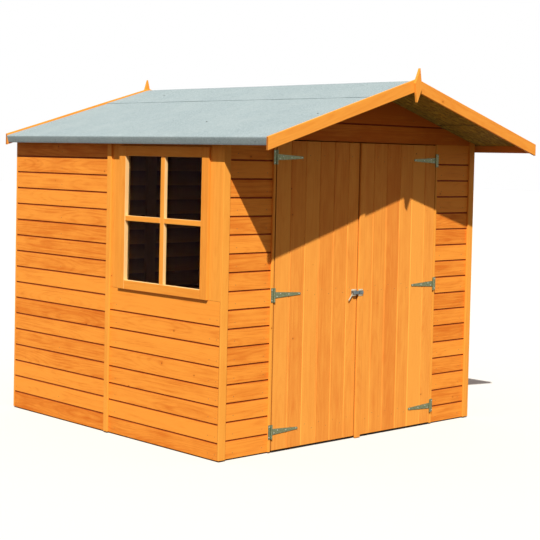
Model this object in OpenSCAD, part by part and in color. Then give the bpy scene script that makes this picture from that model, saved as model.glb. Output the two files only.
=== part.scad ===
// Apex garden shed with a deep front canopy, double doors and one side window.
// X runs along the front wall, Y from the front wall to the back, Z up.
// The origin is on the ground, at the centre of the wall footprint.

/* [Walls] */
// Width of the building over its side cladding
wall_w = 2132; // [1800:1:2700]
// Depth of the building over its front and back cladding
wall_d = 1996; // [1600:1:2500]
// Height of the roof's underside at the outer face of a side wall
eave_z = 1762; // [1450:1:2150]
// Thickness of the cladding boards
clad_t = 12; // [8:1:16]
// Height of the cladding's lower edge above the ground
clad_z = 8; // [4:1:12]
// Depth of the framing timber, measured through the wall
frame_t = 28; // [20:1:45]
// Face width of the framing timber
frame_w = 38; // [28:1:50]
// Face width of the battens over the panel joints
batten_w = 38; // [28:1:60]
// Face width of the corner strips on the front and back walls
corner_strip_w = 48; // [42:1:70]
// Thickness of battens, corner strips and jamb strips
strip_t = 12; // [8:1:16]

/* [Floor] */
// Height of the bearers under the floor
bearer_h = 44; // [35:1:60]
// Width of each bearer
bearer_w = 28; // [20:1:45]
// Number of bearers, odd so that one lies on the centre line
bearer_count = 5; // [3:2:7]
// Thickness of the floor sheet
floor_t = 11; // [9:1:18]

/* [Window] */
// Height of the cladding under the window
sill_z = 868; // [700:1:1050]
// Width of the trim board between the window and the panel joint
joint_trim_w = 100; // [70:1:160]
// Width of the trim board between the window and the front corner
corner_trim_w = 98; // [70:1:160]
// Height of the head board between the window and the eave
window_head_h = 62; // [40:1:120]
// How far the window frame stands proud of the cladding
window_proud = 14; // [8:1:20]
// Depth of the window frame through the wall
window_depth = 40; // [30:1:50]
// Face width of the window's stiles and top rail
stile_w = 60; // [40:1:75]
// Face width of the window's bottom rail
window_sill_h = 52; // [40:1:75]
// Face width of the upright glazing bar
upright_bar_w = 36; // [20:1:45]
// Face width of the cross glazing bars
cross_bar_w = 30; // [20:1:45]
// Depth of the glazing bars in front of the glass
bar_depth = 22; // [14:1:26]
// Thickness of the glass
glass_t = 3; // [2:1:4]

/* [Doors] */
// Width of the doorway between its two jambs
doorway_w = 1368; // [1150:1:1680]
// Distance of the doorway's centre to the right of the wall's centre
doorway_shift = 0; // [-40:0.5:40]
// Width of the left door
left_door_w = 664; // [520:1:700]
// Height of the doors' lower edge above the ground
door_z = 15; // [15:1:30]
// Gap above the doors and between them
door_gap = 6; // [5:1:8]
// Gap between each door and its jamb, at the hinge
hinge_gap = 7; // [6:1:10]
// Thickness of the door boards
door_t = 12; // [10:1:16]
// Thickness of the ledges and braces behind the door boards
ledge_t = 28; // [20:1:35]
// Face width of the ledges and braces
ledge_w = 70; // [50:1:90]
// Distance that the ledges stop short of the door's edges
ledge_inset = 32; // [30:1:60]
// Face width of the jamb strips beside the doors
jamb_strip_w = 16; // [13:1:30]
// Face width of the meeting strip on the right door
meeting_strip_w = 44; // [30:1:60]
// How far the meeting strip hangs below its door
meeting_strip_drop = 13; // [0:1:13]

/* [Hinges and latch] */
// Distance from the door's top to the centre of its top hinge
top_hinge_down = 93; // [60:1:160]
// Distance from the door's bottom to the centre of its bottom hinge
bottom_hinge_up = 105; // [60:1:160]
// Length of a hinge strap from the pin to the middle of its round tip
strap_len = 198; // [150:1:260]
// Width of a hinge strap at the pin
strap_root_w = 34; // [26:1:40]
// Width of a hinge strap at its tip
strap_tip_w = 13; // [10:1:20]
// Thickness of the hinge metal
hinge_t = 3; // [2:0.5:4]
// Height of a hinge's jamb plate
plate_h = 80; // [70:1:100]
// Width of a hinge's jamb plate
plate_w = 20; // [18:1:24]
// Radius of a hinge knuckle
knuckle_r = 5; // [4.5:0.5:6]
// Radius of a hinge pin
pin_r = 2.5; // [2:0.25:3]
// Clearance around a hinge pin and between knuckles
pin_clear = 0.3; // [0.2:0.1:0.5]
// Height of the latch case
latch_h = 40; // [28:1:44]
// Width of the latch case on the left door
latch_case_w = 44; // [30:1:60]
// Width of the latch keeper on the right door
latch_keeper_w = 34; // [26:1:44]
// How far the latch stands out from the left door
latch_out = 22; // [18:1:26]
// Length of the latch's hanging lever
lever_len = 56; // [40:1:70]
// Distance of the latch's centre below the middle hinge
latch_down = 19; // [0:1:60]

/* [Roof] */
// Slope of the roof in degrees
roof_pitch = 16.75; // [12:0.25:24]
// Thickness of the roof sheets
sheet_t = 10; // [8:1:15]
// Thickness of one layer of roofing felt
felt_t = 2.5; // [1.5:0.5:3]
// Overhang of the roof beyond each side wall
side_overhang = 74; // [50:1:120]
// Overhang of the canopy in front of the front wall
front_overhang = 415; // [250:5:600]
// Overhang of the roof behind the back wall
back_overhang = 14; // [13:1:120]
// Height of the felt fold down the eave
felt_fold_h = 43; // [35:1:45]
// Width of the eave rails under the roof's edges
eave_rail_w = 28; // [20:1:40]
// Half width of the felt strip over the ridge, measured down the slope
ridge_felt_w = 375; // [150:5:450]
// Width of the bargeboards, measured across the slope
barge_w = 67; // [55:1:95]
// Thickness of the bargeboards and finials
barge_t = 15; // [10:1:20]
// How far the outer end of the front left bargeboard hangs below its line
barge_sag = 12; // [0:1:15]
// How far the bargeboards stand above the felt
barge_proud = 12; // [8:1:20]
// Widest part of a finial
finial_w = 60; // [40:1:75]
// Height of a finial's tip above the bargeboards' apex
finial_up = 60; // [40:1:90]
// Distance of a finial's foot below the bargeboards' apex
finial_down = 134; // [100:1:160]
// Lean of the front finial to the right, in degrees
finial_lean = 5.5; // [0:0.5:10]
// Distance of each purlin from the ridge
purlin_x = 560; // [400:5:700]

/* [Hidden] */
$fn = 32;

wood_colour = "#f09a3e";
strip_colour = "#f6a648";
inside_colour = "#d98b45";
sheet_colour = "#a9804a";
felt_colour = "#c3d0cd";
metal_colour = "#8fa39a";
glass_colour = "#2a1a14";

// Clearance between timbers that are nailed together, and under the roof sheets
fit = 0.3;
half_w = wall_w / 2;
half_d = wall_d / 2;
wall_t = clad_t + frame_t;
// Inner face of the side cladding and of the side framing
side_clad_in = half_w - clad_t;
side_in = half_w - wall_t;
// Inner face of the front and back cladding and of their framing
end_clad_in = half_d - clad_t;
end_in = half_d - wall_t;

floor_top = bearer_h + floor_t;
rise = tan(roof_pitch);
// Vertical height of a layer that is one millimetre thick across the slope
plumb = 1 / cos(roof_pitch);

// Heights of the roof's layers above the ground, at a distance x from the ridge
function under_z(x) = eave_z + (half_w - abs(x)) * rise;
function sheet_z(x) = under_z(x) + sheet_t * plumb;
function felt_z(x) = sheet_z(x) + felt_t * plumb;
function barge_z(x) = felt_z(x) + barge_proud * plumb;
// Top of a timber that carries the roof sheets, and where that top has the height z
function seat_z(x) = under_z(x) - fit;
function seat_x(z) = half_w - (z + fit - eave_z) / rise;

roof_edge_x = half_w + side_overhang;
roof_front_y = -half_d - front_overhang;
roof_back_y = half_d + back_overhang;
fold_z = felt_z(roof_edge_x) - felt_fold_h;
// Outer faces of the felt's fold and of the timber behind it, both square to the slope
function fold_x(z) = roof_edge_x - (felt_z(roof_edge_x) - z) * rise;
function eave_x(z) = fold_x(z) - felt_t;
// Where a layer that has the height z at the ridge meets the timber's outer face
function layer_end_x(z) = (eave_x(0) + rise * z) / (1 + rise * rise);

// The head over the doors lies just under the side walls' top
header_z = eave_z - 12;
door_top = header_z - door_gap;
door_left_x = doorway_shift - doorway_w / 2;
door_right_x = doorway_shift + doorway_w / 2;
left_door_x0 = door_left_x + hinge_gap;
left_door_x1 = left_door_x0 + left_door_w;
right_door_x0 = left_door_x1 + door_gap;
right_door_x1 = door_right_x - hinge_gap;
// Front face of the doors and jamb strips, and the hinge pins in front of it
door_y = -half_d - strip_t;
pin_y = door_y - knuckle_r;
left_pin_x = door_left_x + hinge_gap / 2;
right_pin_x = door_right_x - hinge_gap / 2;
hinge_zs = let (top = door_top - top_hinge_down, bottom = door_z + bottom_hinge_up)
    [bottom, (top + bottom) / 2, top];
latch_z = hinge_zs[1] - latch_down;

window_y0 = -half_d + corner_trim_w;
window_y1 = -joint_trim_w;
window_top = eave_z - window_head_h;
pane_z0 = sill_z + window_sill_h;
pane_z1 = window_top - stile_w;
pane_y0 = window_y0 + stile_w;
pane_y1 = window_y1 - stile_w;
window_out = half_w + window_proud;
glass_out = window_out - bar_depth - 4;

// A box from its lowest to its highest corner
module block(low, high) {
    translate(low) cube(high - low);
}

// Extrudes an outline in X and Z along Y
module along_y(y0, y1) {
    translate([0, y1, 0]) rotate([90, 0, 0]) linear_extrude(y1 - y0) children();
}

// Turns geometry made for the right (+X) side into the left side's
module on_side(side) {
    mirror([side < 0 ? 1 : 0, 0, 0]) children();
}

// A slab of a right side wall whose top slopes with the roof that it carries
module side_slab(x_in, x_out, y0, y1, z0) {
    along_y(y0, y1)
        polygon([[x_in, z0], [x_out, z0], [x_out, seat_z(x_out)], [x_in, seat_z(x_in)]]);
}

// Framing of one side-wall panel: two rails, with posts standing between them
module side_panel_frame(y0, y1, post_ys) {
    top_rail_z = eave_z - frame_w;
    block([side_in, y0 + fit, floor_top], [side_clad_in, y1 - fit, floor_top + frame_w]);
    side_slab(side_in, side_clad_in, y0 + fit, y1 - fit, top_rail_z);
    for (y = post_ys)
        block([side_in, y, floor_top + frame_w + fit],
              [side_clad_in, y + frame_w, top_rail_z - fit]);
}

// Post positions of a plain panel: its two ends and its middle
function plain_posts(y0, y1) =
    [y0 + fit, (y0 + y1 - frame_w) / 2, y1 - fit - frame_w];

// ---- floor ----

module floor_bearers() {
    color(inside_colour)
        for (i = [0 : bearer_count - 1]) {
            span = 2 * side_clad_in - bearer_w;
            x = -side_clad_in + i * span / (bearer_count - 1);
            block([x, -end_clad_in, 0], [x + bearer_w, end_clad_in, bearer_h]);
        }
}

module floor_sheet() {
    color(sheet_colour)
        block([-side_clad_in, -end_clad_in, bearer_h], [side_clad_in, end_clad_in, floor_top]);
}

// ---- side walls ----

module left_rear_cladding() {
    color(wood_colour) on_side(-1) side_slab(side_clad_in, half_w, 0, half_d, clad_z);
}

module left_window_cladding() {
    color(wood_colour) block([-half_w, -half_d, clad_z], [-side_clad_in, 0, sill_z - fit]);
}

// The upright boards beside the window, and the head board between them
module left_window_trims() {
    color(strip_colour) on_side(-1) {
        side_slab(side_clad_in, half_w, -half_d, window_y0, sill_z);
        side_slab(side_clad_in, half_w, window_y1, 0, sill_z);
        side_slab(side_clad_in, half_w, window_y0 + fit, window_y1 - fit, window_top + fit);
    }
}

// A batten over the panel joint in the middle of each side wall
module side_wall_battens() {
    x1 = half_w + strip_t;
    color(strip_colour)
        for (side = [-1, 1])
            on_side(side) along_y(-batten_w / 2, batten_w / 2)
                polygon([[half_w, clad_z], [x1, clad_z],
                         [x1, seat_z(x1)], [half_w, seat_z(half_w)]]);
}

module left_wall_frame() {
    color(inside_colour) on_side(-1) {
        side_panel_frame(0, half_d, plain_posts(0, half_d));
        side_panel_frame(-half_d, 0,
            [-half_d + fit, window_y0 - frame_w, window_y1, -fit - frame_w]);
        block([side_in, window_y0 + fit, sill_z - frame_w],
              [side_clad_in, window_y1 - fit, sill_z - fit]);
    }
}

// ---- window ----

module window_frame() {
    inside = window_out - window_depth;
    color(strip_colour) on_side(-1) {
        block([inside, window_y0 + fit, sill_z], [window_out, pane_y0, window_top]);
        block([inside, pane_y1, sill_z], [window_out, window_y1 - fit, window_top]);
        block([inside, pane_y0 + fit, sill_z], [window_out, pane_y1 - fit, pane_z0]);
        block([inside, pane_y0 + fit, pane_z1], [window_out, pane_y1 - fit, window_top]);
    }
}

// One upright bar, and a cross bar on each side of it
module window_glazing_bars() {
    mid_y = (pane_y0 + pane_y1) / 2;
    mid_z = (pane_z0 + pane_z1) / 2;
    out = glass_out + bar_depth;
    color(strip_colour) on_side(-1) {
        block([glass_out, mid_y - upright_bar_w / 2, pane_z0 + fit],
              [out, mid_y + upright_bar_w / 2, pane_z1 - fit]);
        block([glass_out, pane_y0 + fit, mid_z - cross_bar_w / 2],
              [out, mid_y - upright_bar_w / 2 - fit, mid_z + cross_bar_w / 2]);
        block([glass_out, mid_y + upright_bar_w / 2 + fit, mid_z - cross_bar_w / 2],
              [out, pane_y1 - fit, mid_z + cross_bar_w / 2]);
    }
}

module window_glass() {
    color(glass_colour) on_side(-1)
        block([glass_out - glass_t, pane_y0 + fit, pane_z0 + fit],
              [glass_out, pane_y1 - fit, pane_z1 - fit]);
}

// ---- right wall ----

module right_rear_cladding() {
    color(wood_colour) side_slab(side_clad_in, half_w, 0, half_d, clad_z);
}

module right_front_cladding() {
    color(wood_colour) side_slab(side_clad_in, half_w, -half_d, 0, clad_z);
}

module right_wall_frame() {
    color(inside_colour) {
        side_panel_frame(0, half_d, plain_posts(0, half_d));
        side_panel_frame(-half_d, 0, plain_posts(-half_d, 0));
    }
}

// ---- back and front walls ----

// Half of the back cladding, from the centre line to the side wall, up to the roof
module back_half_cladding(side) {
    color(wood_colour) on_side(side)
        along_y(end_clad_in, half_d)
            polygon([[0, clad_z], [side_in, clad_z], [side_in, seat_z(side_in)], [0, seat_z(0)]]);
}

module back_left_cladding() {
    back_half_cladding(-1);
}

module back_right_cladding() {
    back_half_cladding(1);
}

// Strip over each corner, from the low edge of the cladding to the roof
module corner_strips(y0, y1) {
    x0 = half_w - corner_strip_w;
    color(strip_colour)
        for (side = [-1, 1])
            on_side(side) along_y(y0, y1)
                polygon([[x0, clad_z], [half_w, clad_z],
                         [half_w, seat_z(half_w)], [x0, seat_z(x0)]]);
}

module back_corner_strips() {
    corner_strips(half_d, half_d + strip_t);
}

module front_corner_strips() {
    corner_strips(-half_d - strip_t, -half_d);
}

module back_wall_batten() {
    edge = batten_w / 2;
    color(strip_colour) along_y(half_d, half_d + strip_t)
        polygon([[-edge, clad_z], [edge, clad_z], [edge, seat_z(edge)],
                 [0, seat_z(0)], [-edge, seat_z(edge)]]);
}

// Raking rails, king post and header of a gable; y0 to y1 is the framing's depth
module gable_frame(y0, y1) {
    header_top = header_z + frame_w;
    rake_h = frame_w * plumb;
    rake_x = seat_x(header_top + fit + rake_h);
    header_x = seat_x(header_top + fit);
    block([-header_x, y0, header_z], [header_x, y1, header_top]);
    for (side = [-1, 1])
        on_side(side) along_y(y0, y1)
            polygon([[fit, seat_z(fit)], [rake_x, seat_z(rake_x)],
                     [rake_x, seat_z(rake_x) - rake_h], [fit, seat_z(fit) - rake_h]]);
    block([-frame_w / 2, y0, header_top + fit],
          [frame_w / 2, y1, seat_z(frame_w / 2) - rake_h - fit]);
}

// Bottom rail and posts of one panel of a front or back wall
module end_panel_frame(x0, x1, y0, y1, post_xs) {
    block([x0, y0, floor_top], [x1, y1, floor_top + frame_w]);
    for (x = post_xs)
        block([x, y0, floor_top + frame_w + fit], [x + frame_w, y1, header_z - fit]);
}

module back_wall_frame() {
    x1 = side_in - fit;
    color(inside_colour) {
        end_panel_frame(-x1, -fit, end_in, end_clad_in, [-x1, -(x1 + frame_w) / 2, -frame_w - fit]);
        end_panel_frame(fit, x1, end_in, end_clad_in, [fit, (x1 - frame_w) / 2, x1 - frame_w]);
        gable_frame(end_in, end_clad_in);
    }
}

module front_left_cladding() {
    color(wood_colour) block([-side_in, -half_d, clad_z], [door_left_x, -end_clad_in, header_z]);
}

module front_right_cladding() {
    color(wood_colour) block([door_right_x, -half_d, clad_z], [side_in, -end_clad_in, header_z]);
}

module front_gable_cladding() {
    color(wood_colour) along_y(-half_d, -end_clad_in)
        polygon([[-side_in, header_z], [side_in, header_z], [side_in, seat_z(side_in)],
                 [0, seat_z(0)], [-side_in, seat_z(side_in)]]);
}

module door_jamb_strips() {
    color(strip_colour) {
        block([door_left_x - jamb_strip_w, door_y, clad_z], [door_left_x, -half_d, header_z]);
        block([door_right_x, door_y, clad_z], [door_right_x + jamb_strip_w, -half_d, header_z]);
    }
}

module front_wall_frame() {
    x1 = side_in - fit;
    color(inside_colour) {
        end_panel_frame(-x1, door_left_x, -end_clad_in, -end_in, [-x1, door_left_x - frame_w]);
        end_panel_frame(door_right_x, x1, -end_clad_in, -end_in, [door_right_x, x1 - frame_w]);
        gable_frame(-end_clad_in, -end_in);
    }
}

// ---- roof ----

module roof_sheet(side) {
    x_low = layer_end_x(under_z(0)) - fit;
    x_top = layer_end_x(sheet_z(0)) - fit;
    color(sheet_colour) on_side(side)
        along_y(roof_front_y, roof_back_y)
            polygon([[0, under_z(0)], [x_low, under_z(x_low)], [x_top, sheet_z(x_top)],
                     [0, sheet_z(0)]]);
}

module roof_sheet_left() {
    roof_sheet(-1);
}

module roof_sheet_right() {
    roof_sheet(1);
}

// Felt over one slope, folded down over the roof's edge
module roof_felt(side) {
    x = roof_edge_x;
    x_top = layer_end_x(sheet_z(0));
    color(felt_colour) on_side(side)
        along_y(roof_front_y, roof_back_y)
            polygon([[0, sheet_z(0)], [x_top, sheet_z(x_top)], [eave_x(fold_z), fold_z],
                     [fold_x(fold_z), fold_z], [x, felt_z(x)], [0, felt_z(0)]]);
}

module roof_felt_left() {
    roof_felt(-1);
}

module roof_felt_right() {
    roof_felt(1);
}

// Second layer of felt, bent over the ridge
module roof_felt_ridge() {
    x = ridge_felt_w / plumb;
    top = felt_t * plumb;
    color(felt_colour) translate([0, 0, fit]) along_y(roof_front_y, roof_back_y)
        polygon([[-x, felt_z(x)], [0, felt_z(0)], [x, felt_z(x)],
                 [x, felt_z(x) + top], [0, felt_z(0) + top], [-x, felt_z(x) + top]]);
}

module roof_eave_rails() {
    x1 = eave_x(fold_z);
    x0 = x1 - eave_rail_w;
    x_top = layer_end_x(seat_z(0));
    color(inside_colour)
        for (side = [-1, 1])
            on_side(side) along_y(roof_front_y, roof_back_y)
                polygon([[x0, fold_z], [x1, fold_z], [x_top, seat_z(x_top)], [x0, seat_z(x0)]]);
}

// Timbers under the sheets from gable to gable: two beside the ridge, and one down each slope
module roof_purlins() {
    color(inside_colour)
        for (side = [-1, 1], x = [fit, purlin_x])
            on_side(side) along_y(-end_in + fit, end_in - fit)
                polygon([[x, seat_z(x) - frame_w * plumb],
                         [x + frame_t, seat_z(x + frame_t) - frame_w * plumb],
                         [x + frame_t, seat_z(x + frame_t)], [x, seat_z(x)]]);
}

// Two boards that meet at the apex, cut plumb at both ends; sag lowers the left one's outer end
module bargeboards(y0, y1, sag) {
    h = barge_w * plumb;
    color(strip_colour)
        for (side = [-1, 1]) {
            end_z = barge_z(roof_edge_x) - (side < 0 ? sag : 0);
            on_side(side) along_y(y0, y1)
                polygon([[fit, barge_z(fit) - h], [roof_edge_x, end_z - h],
                         [roof_edge_x, end_z], [fit, barge_z(fit)]]);
        }
}

module front_bargeboards() {
    bargeboards(roof_front_y - barge_t, roof_front_y, barge_sag);
}

module back_bargeboards() {
    bargeboards(roof_back_y, roof_back_y + barge_t, 0);
}

// A pointed board, widest just below the apex, turned about its nail at the apex
module finial(y0, y1, lean) {
    tip_w = 2;
    foot_w = 4;
    left_corner = -finial_down * 0.22;
    right_corner = -finial_down * 0.36;
    color(strip_colour) translate([0, 0, barge_z(0)]) rotate([0, lean, 0]) along_y(y0, y1)
        polygon([[-tip_w / 2, finial_up], [-finial_w / 2, left_corner],
                 [-foot_w / 2, -finial_down], [foot_w / 2, -finial_down],
                 [finial_w / 2, right_corner], [tip_w / 2, finial_up]]);
}

module front_finial() {
    finial(roof_front_y - 2 * barge_t, roof_front_y - barge_t, finial_lean);
}

module back_finial() {
    finial(roof_back_y + barge_t, roof_back_y + 2 * barge_t, 0);
}

// ---- hinges: the jamb plate holds two knuckles and the pin, the strap the middle knuckle ----

// Jamb plate beside a pin at the origin, on the +X side
module hinge_plate() {
    edge = knuckle_r + pin_clear;
    mid = strap_root_w / 2 + pin_clear;
    block([edge, knuckle_r - hinge_t, -plate_h / 2],
          [hinge_gap / 2 + plate_w, knuckle_r, plate_h / 2]);
    cylinder(r = pin_r, h = plate_h, center = true);
    for (z = [mid, -plate_h / 2])
        translate([0, 0, z]) {
            cylinder(r = knuckle_r, h = plate_h / 2 - mid);
            block([0, knuckle_r - hinge_t, 0], [edge, knuckle_r, plate_h / 2 - mid]);
        }
}

// Tapered strap on a door that lies on the +X side of a pin at the origin
module hinge_strap() {
    root = strap_root_w / 2;
    edge = hinge_gap / 2;
    tip = strap_tip_w / 2;
    difference() {
        union() {
            cylinder(r = knuckle_r, h = strap_root_w, center = true);
            block([0, knuckle_r - hinge_t, -root], [edge, knuckle_r, root]);
            along_y(knuckle_r - hinge_t, knuckle_r) {
                polygon([[edge, -root], [strap_len, -tip], [strap_len, tip], [edge, root]]);
                translate([strap_len, 0]) circle(r = tip);
            }
        }
        cylinder(r = pin_r + pin_clear, h = strap_root_w + 2, center = true);
    }
}

module door_hinge_plates() {
    color(metal_colour)
        for (z = hinge_zs) {
            translate([left_pin_x, pin_y, z]) mirror([1, 0, 0]) hinge_plate();
            translate([right_pin_x, pin_y, z]) hinge_plate();
        }
}

module left_door_straps() {
    color(metal_colour)
        for (z = hinge_zs)
            translate([left_pin_x, pin_y, z]) hinge_strap();
}

module right_door_straps() {
    color(metal_colour)
        for (z = hinge_zs)
            translate([right_pin_x, pin_y, z]) mirror([1, 0, 0]) hinge_strap();
}

// ---- doors: boards in front, three ledges and two braces behind ----

module door_boards(x0, x1) {
    color(wood_colour) block([x0, door_y, door_z], [x1, door_y + door_t, door_top]);
}

// A brace rises from the hinge side of each ledge to the free side of the next
module door_ledges(x_hinge, x_free) {
    y0 = door_y + door_t;
    low = min(x_hinge, x_free);
    high = max(x_hinge, x_free);
    dir = sign(x_free - x_hinge);
    lean = dir * ledge_w;
    color(inside_colour) {
        for (z = hinge_zs)
            block([low, y0, z - ledge_w / 2], [high, y0 + ledge_t, z + ledge_w / 2]);
        for (i = [0, 1]) {
            z0 = hinge_zs[i] + ledge_w / 2 + fit;
            z1 = hinge_zs[i + 1] - ledge_w / 2 - fit;
            along_y(y0, y0 + ledge_t)
                polygon([[x_hinge, z0], [x_hinge + lean, z0], [x_free, z1], [x_free - lean, z1]]);
        }
    }
}

module left_door_boards() {
    door_boards(left_door_x0, left_door_x1);
}

module left_door_ledges() {
    door_ledges(left_door_x0 + ledge_inset, left_door_x1 - ledge_inset);
}

module right_door_boards() {
    door_boards(right_door_x0, right_door_x1);
}

module right_door_ledges() {
    door_ledges(right_door_x1 - ledge_inset, right_door_x0 + ledge_inset);
}

module right_door_meeting_strip() {
    color(strip_colour)
        block([right_door_x0, door_y - strip_t, door_z - meeting_strip_drop],
              [right_door_x0 + meeting_strip_w, door_y, door_top]);
}

// Latch case on the left door's free edge, with a lever that hangs beside it
module left_door_latch() {
    lever_w = 7;
    lever_t = 4;
    lever_out = 8;
    lever_angle = 50;
    x1 = left_door_x1;
    x0 = x1 - latch_case_w;
    color(metal_colour) {
        block([x0, door_y - latch_out, latch_z - latch_h / 2], [x1, door_y, latch_z + latch_h / 2]);
        translate([x0 + lever_w, door_y - lever_out, latch_z])
            rotate([0, -lever_angle, 0])
                block([-lever_len, -lever_t, -lever_w / 2], [0, 0, lever_w / 2]);
    }
}

module right_door_latch_keeper() {
    color(metal_colour)
        block([right_door_x0, door_y - latch_out, latch_z - latch_h / 2],
              [right_door_x0 + latch_keeper_w, door_y - strip_t, latch_z + latch_h / 2]);
}

floor_bearers();
floor_sheet();
left_rear_cladding();
left_window_cladding();
left_window_trims();
left_wall_frame();
side_wall_battens();
window_frame();
window_glazing_bars();
window_glass();
right_rear_cladding();
right_front_cladding();
right_wall_frame();
back_left_cladding();
back_right_cladding();
back_wall_batten();
back_corner_strips();
back_wall_frame();
front_left_cladding();
front_right_cladding();
front_gable_cladding();
front_corner_strips();
door_jamb_strips();
front_wall_frame();
roof_sheet_left();
roof_sheet_right();
roof_felt_left();
roof_felt_right();
roof_felt_ridge();
roof_eave_rails();
roof_purlins();
front_bargeboards();
back_bargeboards();
front_finial();
back_finial();
door_hinge_plates();
left_door_boards();
left_door_ledges();
left_door_straps();
left_door_latch();
right_door_boards();
right_door_ledges();
right_door_straps();
right_door_meeting_strip();
right_door_latch_keeper();
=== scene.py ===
"""A wooden garden shed, dressed around its CAD frame.

Metres, in the frame's own axes: X along the front wall, Y from the front wall to the back, Z up.
"""

import math
import random

import bmesh
import bpy
from mathutils import Matrix, Vector, noise


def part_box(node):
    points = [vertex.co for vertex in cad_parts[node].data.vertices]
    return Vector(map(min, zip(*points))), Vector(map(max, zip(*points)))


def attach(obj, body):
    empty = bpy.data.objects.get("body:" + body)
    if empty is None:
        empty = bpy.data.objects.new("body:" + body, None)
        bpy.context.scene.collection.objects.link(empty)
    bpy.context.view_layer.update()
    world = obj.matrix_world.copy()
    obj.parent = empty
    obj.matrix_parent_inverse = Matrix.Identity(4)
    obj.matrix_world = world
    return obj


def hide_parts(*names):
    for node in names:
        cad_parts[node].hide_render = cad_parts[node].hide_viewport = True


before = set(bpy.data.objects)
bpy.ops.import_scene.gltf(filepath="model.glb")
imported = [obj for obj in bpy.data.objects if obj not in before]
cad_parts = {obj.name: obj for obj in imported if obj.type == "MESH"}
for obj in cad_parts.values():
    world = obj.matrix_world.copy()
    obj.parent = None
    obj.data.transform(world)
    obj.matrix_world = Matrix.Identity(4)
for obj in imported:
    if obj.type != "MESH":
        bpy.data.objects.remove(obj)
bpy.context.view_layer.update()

# Vector noise starts from the clock unless it is given a seed
noise.seed_set(1)


# ---- finishes ----
# Short ways to build node trees, and the softwood that every timber shares.

def feed(tree, node, feeds):
    """Feeds each input of a node with a value or another node's socket."""
    for socket, value in feeds.items():
        if isinstance(value, bpy.types.NodeSocket):
            tree.links.new(value, node.inputs[socket])
        else:
            node.inputs[socket].default_value = value


def add(tree, kind, feeds=None, **settings):
    """Adds a node with its settings and feeds its inputs."""
    made = tree.nodes.new(kind)
    for setting, value in settings.items():
        setattr(made, setting, value)
    feed(tree, made, feeds or {})
    return made


def open_sockets(tree, in_out, kinds):
    """Gives a node group its named inputs or outputs, each of its own kind."""
    for name, kind in kinds.items():
        tree.interface.new_socket(name, in_out=in_out, socket_type="NodeSocket" + kind)


def new_finish(name):
    """A new material with its node tree and its shader."""
    made = bpy.data.materials.new(name)
    made.use_nodes = True
    return made, made.node_tree, made.node_tree.nodes["Principled BSDF"]


def calc(tree, operation, *terms):
    """One step of arithmetic, given back as the socket that holds the result."""
    return add(tree, "ShaderNodeMath", dict(enumerate(terms)), operation=operation).outputs[0]


def fade(tree, value, start, end, low=0.0, high=1.0):
    """Eases from low to high while the value goes from start to end."""
    feeds = {0: value, 1: start, 2: end, 3: low, 4: high}
    return add(tree, "ShaderNodeMapRange", feeds, interpolation_type="SMOOTHSTEP").outputs[0]


def tint(tree, share, first, second, how="MIX"):
    """Mixes two colours by a share."""
    feeds = {0: share, 6: first, 7: second}
    return add(tree, "ShaderNodeMix", feeds, data_type="RGBA", blend_type=how).outputs[2]


def mottle(tree, vector, scale, detail=2.0, roughness=0.55):
    """Noise between 0 and 1 at a vector."""
    feeds = {"Vector": vector, "Scale": scale, "Detail": detail, "Roughness": roughness}
    return add(tree, "ShaderNodeTexNoise", feeds).outputs["Fac"]


def paint(red, green, blue):
    """A colour on the usual 0 to 255 display scale, as the linear colour that a shader takes."""
    shares = [channel / 255 for channel in (red, green, blue)]
    return (*[s / 12.92 if s <= 0.04045 else ((s + 0.055) / 1.055) ** 2.4 for s in shares], 1.0)


def parted(tree, vector):
    """The three parts of a vector or a colour."""
    return add(tree, "ShaderNodeSeparateXYZ", {0: vector}).outputs


def object_place(tree):
    """Places in the object's own axes."""
    return add(tree, "ShaderNodeTexCoord").outputs["Object"]


def bumped(tree, height, strength, distance):
    """A normal tilted by a height."""
    feeds = {"Height": height, "Strength": strength, "Distance": distance}
    return add(tree, "ShaderNodeBump", feeds).outputs["Normal"]


def stretched(tree, vector, along, across):
    """A vector in a board, scaled along the board and across it."""
    feeds = {0: vector, 1: (along, across, across)}
    return add(tree, "ShaderNodeVectorMath", feeds, operation="MULTIPLY").outputs[0]


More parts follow.
